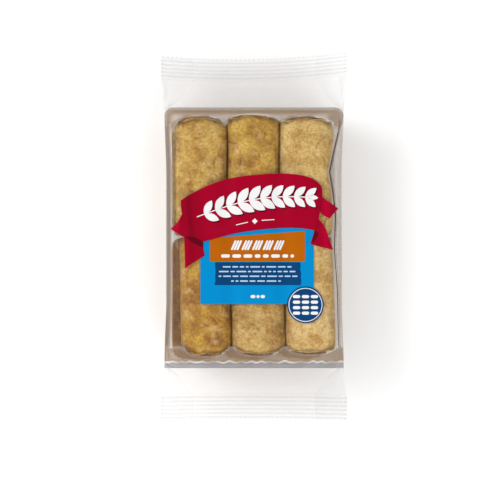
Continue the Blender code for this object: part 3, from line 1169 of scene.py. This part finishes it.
def lens(cx, cy, length, thick, turn):
    """A grain: pointed at both ends."""
    points = []
    n = 9
    for i in range(n):
        t = i / (n - 1)
        points.append((length * (t - 0.5), -thick / 2.0 * math.sin(math.pi * t) ** 0.8))
    for i in range(1, n - 1):
        t = 1.0 - i / (n - 1)
        points.append((length * (t - 0.5), thick / 2.0 * math.sin(math.pi * t) ** 0.8))
    c, s = math.cos(turn), math.sin(turn)
    return [(cx + x * c - y * s, cy + x * s + y * c) for x, y in points]


def make_print():
    blue = ink_material("ink_blue", srgb(0, 129, 189, 1.0))
    orange = ink_material("ink_orange", srgb(171, 90, 4, 1.0))
    navy = ink_material("ink_navy", srgb(7, 61, 108, 1.0))
    red = ink_material("ink_red", srgb(151, 0, 34, 1.0), shaded=True)
    dark_red = ink_material("ink_dark_red", srgb(92, 2, 20, 1.0))
    white = ink_material("ink_white", (0.74, 0.73, 0.73, 1.0))

    print_piece(
        "print_blue",
        [[px(200.4, 229), px(200.4, 304), px(313.9, 304), px(313.9, 226)]],
        0.10,
        blue,
    )
    print_piece(
        "print_orange",
        [[px(210, 238), px(210, 261.6), px(305, 261.6), px(305, 231)]],
        0.26,
        orange,
    )
    rng = random.Random(5)
    left = [(215.0 + rng.uniform(-0.7, 0.7), y) for y in (262.3, 266, 269.5, 273, 277, 281, 285)]
    right = [(300.5 + rng.uniform(-0.7, 0.7), y) for y in (285, 281, 277, 273, 269.5, 266, 262.3)]
    print_piece("print_navy", [[px(*p) for p in left + right]], 0.26, navy)

    # Ribbon
    def back(x, y):
        """A place in millimetres on the print's own layout grid."""
        return (x + 2.7) / 0.6732 + 250.0, 250.0 - (y + 9.2) / 0.6732

    def band_shade(x, y):
        gx, gy = back(x, y)
        lean = gx - 0.10 * (gy - 200.0)
        value = 0.34 * smooth((205.0 - lean) / 14.0)
        value += 0.22 * bell(lean - 188.5, 3.2) - 0.20 * bell(lean - 183.2, 2.6) - 0.10 * bell(lean - 193.5, 2.4)
        value += 0.20 * smooth((lean - 309.0) / 10.0)
        return clamp(value, -1.0, 1.0)

    def tail_shade(x, y):
        gx, gy = back(x, y)
        if gx < 250.0:
            value = 0.16 + 0.20 * bell(gx - 0.1 * (gy - 240.0) - 191.0, 4.0) - 0.12 * bell(gx - 186.0, 3.0)
        else:
            # paler near the right tip: painted reflection
            value = 0.05 - 0.42 * bell(gx - 326.0, 5.5) + 0.18 * bell(gx - 317.0, 4.0)
        return clamp(value, -1.0, 1.0)

    def back_shade(x, y):
        gx, gy = back(x, y)
        if gx < 250.0:
            return -0.10 + 0.30 * smooth((gx - 176.0) / 7.0)
        # painted reflection: paler near the right tip
        return -0.35 * bell(gx - 327.0, 8.0)

    band = [
        (180.6, 200.5), (180.6, 200.5), (192, 193.5), (208, 185.6), (226.5, 179.2), (250, 175.4),
        (277.6, 173.6), (297, 174.6), (311, 178.2), (319.5, 184.2), (322.4, 191.5), (321.0, 205),
        (318.5, 219), (315.0, 230.5), (315.0, 230.5), (302, 228.4), (284, 228.0), (262, 229.5),
        (240, 232.6), (222, 236.6), (203.2, 241.8), (203.2, 241.8), (195.5, 237.5), (188, 233), (184.2, 223), (181.6, 211),
    ]
    back_tails = [
        [(184.5, 212), (178, 221.5), (170.4, 229.0), (170.4, 229.0), (177, 233), (186, 238.5), (186, 238.5), (190, 226)],
        [(320.5, 196), (320.5, 196), (329, 202), (338.3, 208.4), (338.3, 208.4), (334, 213.2), (329.6, 218.8), (329.6, 218.8), (320, 212)],
    ]
    front_tails = [
        [(182.5, 220), (182.5, 220), (184.0, 236), (184.8, 253), (185.2, 268.5), (185.2, 268.5), (193.5, 262.5), (204.8, 255.8), (204.8, 255.8), (203.6, 248.5), (203.0, 240.5), (203.0, 240.5), (193, 232)],
        [(318.5, 219), (318.5, 219), (314.5, 231), (310.2, 244.0), (310.2, 244.0), (321, 247), (333.2, 249.8), (333.2, 249.8), (329.5, 240), (326.0, 229), (326.0, 229), (322.5, 223.5)],
    ]
    folds = [
        [(185.0, 236.5), (185.0, 236.5), (194, 243.5), (203.4, 247.5), (203.4, 247.5), (203.0, 240.5), (203.0, 240.5), (194, 237.0)],
        [(314.8, 230.5), (314.8, 230.5), (318.8, 233.5), (318.8, 233.5), (316.0, 238.5), (312.2, 243.0), (312.2, 243.0), (313.0, 237)],
    ]
    print_piece("ribbon_back", [[px(*p) for p in curve_through(t, 5)] for t in back_tails], 0.36, red, 1.4, back_shade)
    print_piece("ribbon_front", [[px(*p) for p in curve_through(t, 5)] for t in front_tails], 0.46, red, 1.4, tail_shade)
    print_piece("ribbon_folds", [[px(*p) for p in curve_through(t, 5)] for t in folds], 0.56, dark_red)
    print_piece("ribbon_band", [[px(*p) for p in curve_through(band, 6)]], 0.66, red, 1.4, band_shade)

    # A sprig of grain along the ribbon, in place of lettering
    def arc(t):
        """Point and direction along the ribbon, t from 0 at the left to 1 at the right."""
        x = mix(197.0, 309.0, t)
        y = 217.0 - 17.5 * t - 8.5 * math.sin(math.pi * t * 0.92)
        return x, y

    grains, shadows = [], []
    steps = 10
    for i in range(steps):
        t = (i + 0.6) / steps
        x, y = arc(t)
        x2, y2 = arc(t + 0.01)
        heading = math.atan2(-(y2 - y), x2 - x)
        size = 19.0 * (1.0 - 0.26 * abs(t - 0.42) / 0.58)
        for side in (-1, 1):
            turn = heading + side * 0.72
            reach = size * 0.50
            cx = x + reach * math.cos(turn) + 0.6
            cy = y - reach * math.sin(turn)
            place = px(cx, cy)
            grains.append(lens(place[0], place[1], size * 0.6732, size * 0.31, turn))
            place = px(cx + 1.3, cy + 1.5)
            shadows.append(lens(place[0], place[1], size * 0.6732, size * 0.31, turn))
    x, y = arc(1.0)
    place = px(x + 3, y)
    grains.append(lens(place[0], place[1], 8.4, 3.4, -0.1))
    stem = [px(*arc(t / 30.0)) for t in range(0, 30)]
    upper = [(p[0], p[1] + 0.35) for p in stem]
    lower = [(p[0], p[1] - 0.35) for p in reversed(stem)]
    grains_and_stem = grains
    print_piece("ribbon_sprig_shade", shadows, 0.76, dark_red, 1.6)
    print_piece("ribbon_sprig", grains_and_stem, 0.86, white, 1.6)
    print_piece("ribbon_stem", [upper + lower], 0.90, white, 1.6)

    # Thin rules either side of a small diamond
    rules = []
    for (ax, ay), (bx, by) in (((236.0, 225.0), (248.0, 222.2)), ((261.5, 220.4), (274.5, 219.6))):
        p, q = px(ax, ay), px(bx, by)
        turn = math.atan2(q[1] - p[1], q[0] - p[0])
        rules.append(bar((p[0] + q[0]) / 2, (p[1] + q[1]) / 2, math.dist(p, q), 0.55, turn))
    c = px(254.8, 221.2)
    rules.append([(c[0] - 1.9, c[1]), (c[0], c[1] - 1.9), (c[0] + 1.9, c[1]), (c[0], c[1] + 1.9)])
    print_piece("ribbon_rules", rules, 0.78, white, 1.6)

    # Orange panel: five small rolls, and a broken line under them
    marks = []
    for i in range(5):
        x, y = px(236.5 + i * 10.6, 245.2)
        for k in (-1, 0, 1):
            marks.append(bar(x + k * 1.85, y, 7.2, 1.35, 1.15))
    rng = random.Random(11)
    x = 221.0
    while x < 294.0:
        length = rng.choice((4.5, 6.0, 7.5, 9.0))
        length = min(length, 294.0 - x)
        if length < 2.5:
            break
        cx, cy = px(x + length / 2.0, 256.0)
        marks.append(bar(cx, cy, length * 0.6732, 2.3))
        x += length + 2.2
    print_piece("print_orange_marks", marks, 0.40, white, 1.6)

    # Navy panel: four thin broken rules
    rows = []
    for y, x0, x1 in ((266.8, 222.7, 291.6), (271.5, 218.9, 295.4), (276.2, 218.5, 297.5), (281.0, 231.0, 283.0)):
        x = x0
        while x < x1 - 1.5:
            length = min(rng.choice((3.0, 4.5, 6.0, 8.0, 10.0)), x1 - x)
            cx, cy = px(x + length / 2.0, y)
            rows.append(bar(cx, cy, length * 0.6732, 0.95))
            x += length + 1.5
    pale = ink_material("ink_pale", srgb(170, 196, 222, 1.0))
    print_piece("print_navy_rules", rows, 0.40, pale, 1.6)
    foot = []
    for x0, length in ((250.5, 5.0), (256.5, 3.0), (260.5, 4.5)):
        cx, cy = px(x0 + length / 2.0, 296.5)
        foot.append(bar(cx, cy, length * 0.6732, 2.1))
    print_piece("print_foot_mark", foot, 0.26, white, 1.6)

    # Badge with a ring and twelve small bars
    cx, cy = px(305.4, 304.8)
    k = 0.6732
    print_piece("badge_disc", [ellipse(cx, cy, 18.3 * k, 18.3 * k, 0.0, 64)], 0.40, navy)
    ring = [
        ellipse(cx, cy, 16.9 * k, 16.9 * k, 0.0, 64),
    ]
    print_piece("badge_ring", ring, 0.52, white, 1.8)
    print_piece("badge_face", [ellipse(cx, cy, 16.1 * k, 16.1 * k, 0.0, 64)], 0.64, navy)
    bars = []
    for row in range(4):
        for col in range(3):
            bars.append(bar(cx + (col - 1) * 6.0, cy + (1.5 - row) * 3.7, 5.0, 2.1))
    print_piece("badge_bars", bars, 0.78, white, 1.6)


# ------------------------------------------------------------------- build

film = clear_plastic("clear_film", srgb(226, 226, 226), "haze", 0.16, 28.0, (0.994, 0.994, 0.994, 1.0), 1.0, True)
# painted shade: the tray's haze is brown, standing in for the shaded rolls seen through its walls
tray_plastic = clear_plastic("tray_plastic", srgb(152, 126, 98), "haze", 0.12, 0.0, (0.96, 0.95, 0.94, 1.0), 0.5)
dark_plastic = clear_plastic("tray_rim_shaded", srgb(92, 66, 42), "haze", 0.2, 0.0, (0.8, 0.74, 0.66, 1.0), 0.5)
bead_plastic = clear_plastic("tray_rim_plastic", srgb(112, 106, 104), "haze", 0.12, 0.0, (0.9, 0.9, 0.9, 1.0), 1.0)
meat = filling_material()



def tone(gain, *colours):
    """The colours in linear light, each channel scaled by its gain."""
    found = []
    for colour in colours:
        value = srgb(*colour, 0.92)
        found.append((value[0] * gain[0], value[1] * gain[1], value[2] * gain[2], 1.0))
    return tuple(found)


tones = {
    "ul": tone((0.79, 0.73, 0.39), (214, 182, 122), (193, 152, 82), (158, 114, 44)),
    "um": tone((0.82, 0.77, 0.335), (208, 174, 110), (189, 146, 74), (152, 106, 40)),
    "ur": tone((0.865, 0.865, 0.70), (218, 188, 132), (203, 166, 102), (176, 132, 64)),
    "ll": tone((0.82, 0.73, 0.23), (202, 166, 100), (178, 132, 58), (144, 96, 30)),
    "lm": tone((0.83, 0.79, 0.55), (212, 182, 126), (190, 152, 90), (158, 114, 50)),
    "lr": tone((0.89, 0.865, 0.74), (222, 194, 140), (210, 176, 114), (182, 138, 70)),
    "low": tone((0.98, 0.90, 0.46), (208, 172, 108), (188, 146, 76), (150, 106, 42)),
}
pastry = {
    key: pastry_material(f"pastry_{key}", *values, phase=0.31 * i)
    for i, (key, values) in enumerate(tones.items())
}
UP = 25.3
upper = (
    # name, centre at low y, at high y, y_low, y_high, width, seed
    ("ul", -36.3, -36.4, 0.4, 78.9, 36.6, 3),
    ("um", -0.3, -0.7, 0.3, 80.5, 35.3, 14),
    ("ur", 35.6, 35.3, 0.5, 78.9, 37.0, 27),
    ("ll", -32.2, -33.6, -79.0, -0.6, 34.0, 31),
    ("lm", 3.1, 1.8, -78.6, -0.5, 36.6, 46),
    ("lr", 38.4, 36.9, -77.4, -0.4, 34.2, 58),
)
for name, c0, c1, y0, y1, width, seed in upper:
    make_roll(
        f"roll_upper_{name}", (c0, c1), y0, y1, UP, width, 24.2, seed, [pastry[name], meat], 96, 112,
        wall=right_line if name in ("ur", "lr") else None,
        arch={"ul": 6.0, "ur": 5.0}.get(name, 4.2),
        near_arch=7.0 if name in ("ll", "lm") else 4.2,
    )
lower = (
    ("ul", -38.6, -38.6, 0.6, 82.2, 35.2, 61),
    ("um", -3.0, -3.0, 0.6, 82.4, 35.2, 72),
    ("ur", 32.8, 32.8, 0.6, 82.0, 35.4, 83),
    ("ll", -38.5, -38.6, -83.4, -0.6, 35.2, 94),
    ("lm", -3.0, -3.0, -83.6, -0.6, 35.2, 105),
    ("lr", 32.8, 32.8, -82.8, -0.6, 35.4, 116),
)
for name, c0, c1, y0, y1, width, seed in lower:
    make_roll(
        f"roll_lower_{name}", (c0, c1), y0, y1, 1.2, width, 23.9, seed, [pastry["low"], meat], 56, 72, swell_out=0.4, under=True
    )
make_tray(tray_plastic, bead_plastic, dark_plastic)
make_film(film)
make_print()

# ------------------------------------------------------------------- floor

floor_mesh = bpy.data.meshes.new("floor")
floor_mesh.from_pydata(
    [(-4, -4, -0.0002), (4, -4, -0.0002), (4, 4, -0.0002), (-4, 4, -0.0002)], [], [(0, 1, 2, 3)]
)
floor = bpy.data.objects.new("floor", floor_mesh)
bpy.context.scene.collection.objects.link(floor)
floor_material, floor_tree, floor_shader = new_material("floor_white")
floor_shader.inputs["Base Color"].default_value = (0.94, 0.94, 0.94, 1.0)
floor_shader.inputs["Roughness"].default_value = 0.9
floor_shader.inputs["Specular IOR Level"].default_value = 0.1
floor_mesh.materials.append(floor_material)

# ----------------------------------------------------------- light, camera

world = bpy.data.worlds.new("studio")
bpy.context.scene.world = world
world.use_nodes = True
world.node_tree.nodes["Background"].inputs["Color"].default_value = (1, 1, 1, 1)
world.node_tree.nodes["Background"].inputs["Strength"].default_value = 0.76


def area(name, place, target, size, power):
    data = bpy.data.lights.new(name, "AREA")
    data.shape = "SQUARE"
    data.size = size
    data.energy = power
    data.color = (1, 1, 1)
    lamp = bpy.data.objects.new(name, data)
    bpy.context.scene.collection.objects.link(lamp)
    lamp.location = place
    direction = Vector(target) - Vector(place)
    lamp.rotation_euler = direction.to_track_quat("-Z", "Y").to_euler()
    return lamp


area("key", (-1.4, 0.5, 1.1), (0, 0, 0.02), 0.9, 20.0)
area("fill", (0.7, -1.2, 1.2), (0, 0, 0.02), 1.0, 12.0)

camera_data = bpy.data.cameras.new("camera")
camera_data.lens = 250.0
camera_data.sensor_width = 36.0
camera_data.clip_end = 50.0
camera = bpy.data.objects.new("camera", camera_data)
bpy.context.scene.collection.objects.link(camera)
camera.location = (-0.0027, -0.0092, 0.024 + 0.34 / (36.0 / 250.0))
camera.rotation_euler = (0.0, 0.0, 0.0)
bpy.context.scene.camera = camera

scene = bpy.context.scene
scene.view_settings.view_transform = "Standard"
scene.cycles.transparent_max_bounces = 24
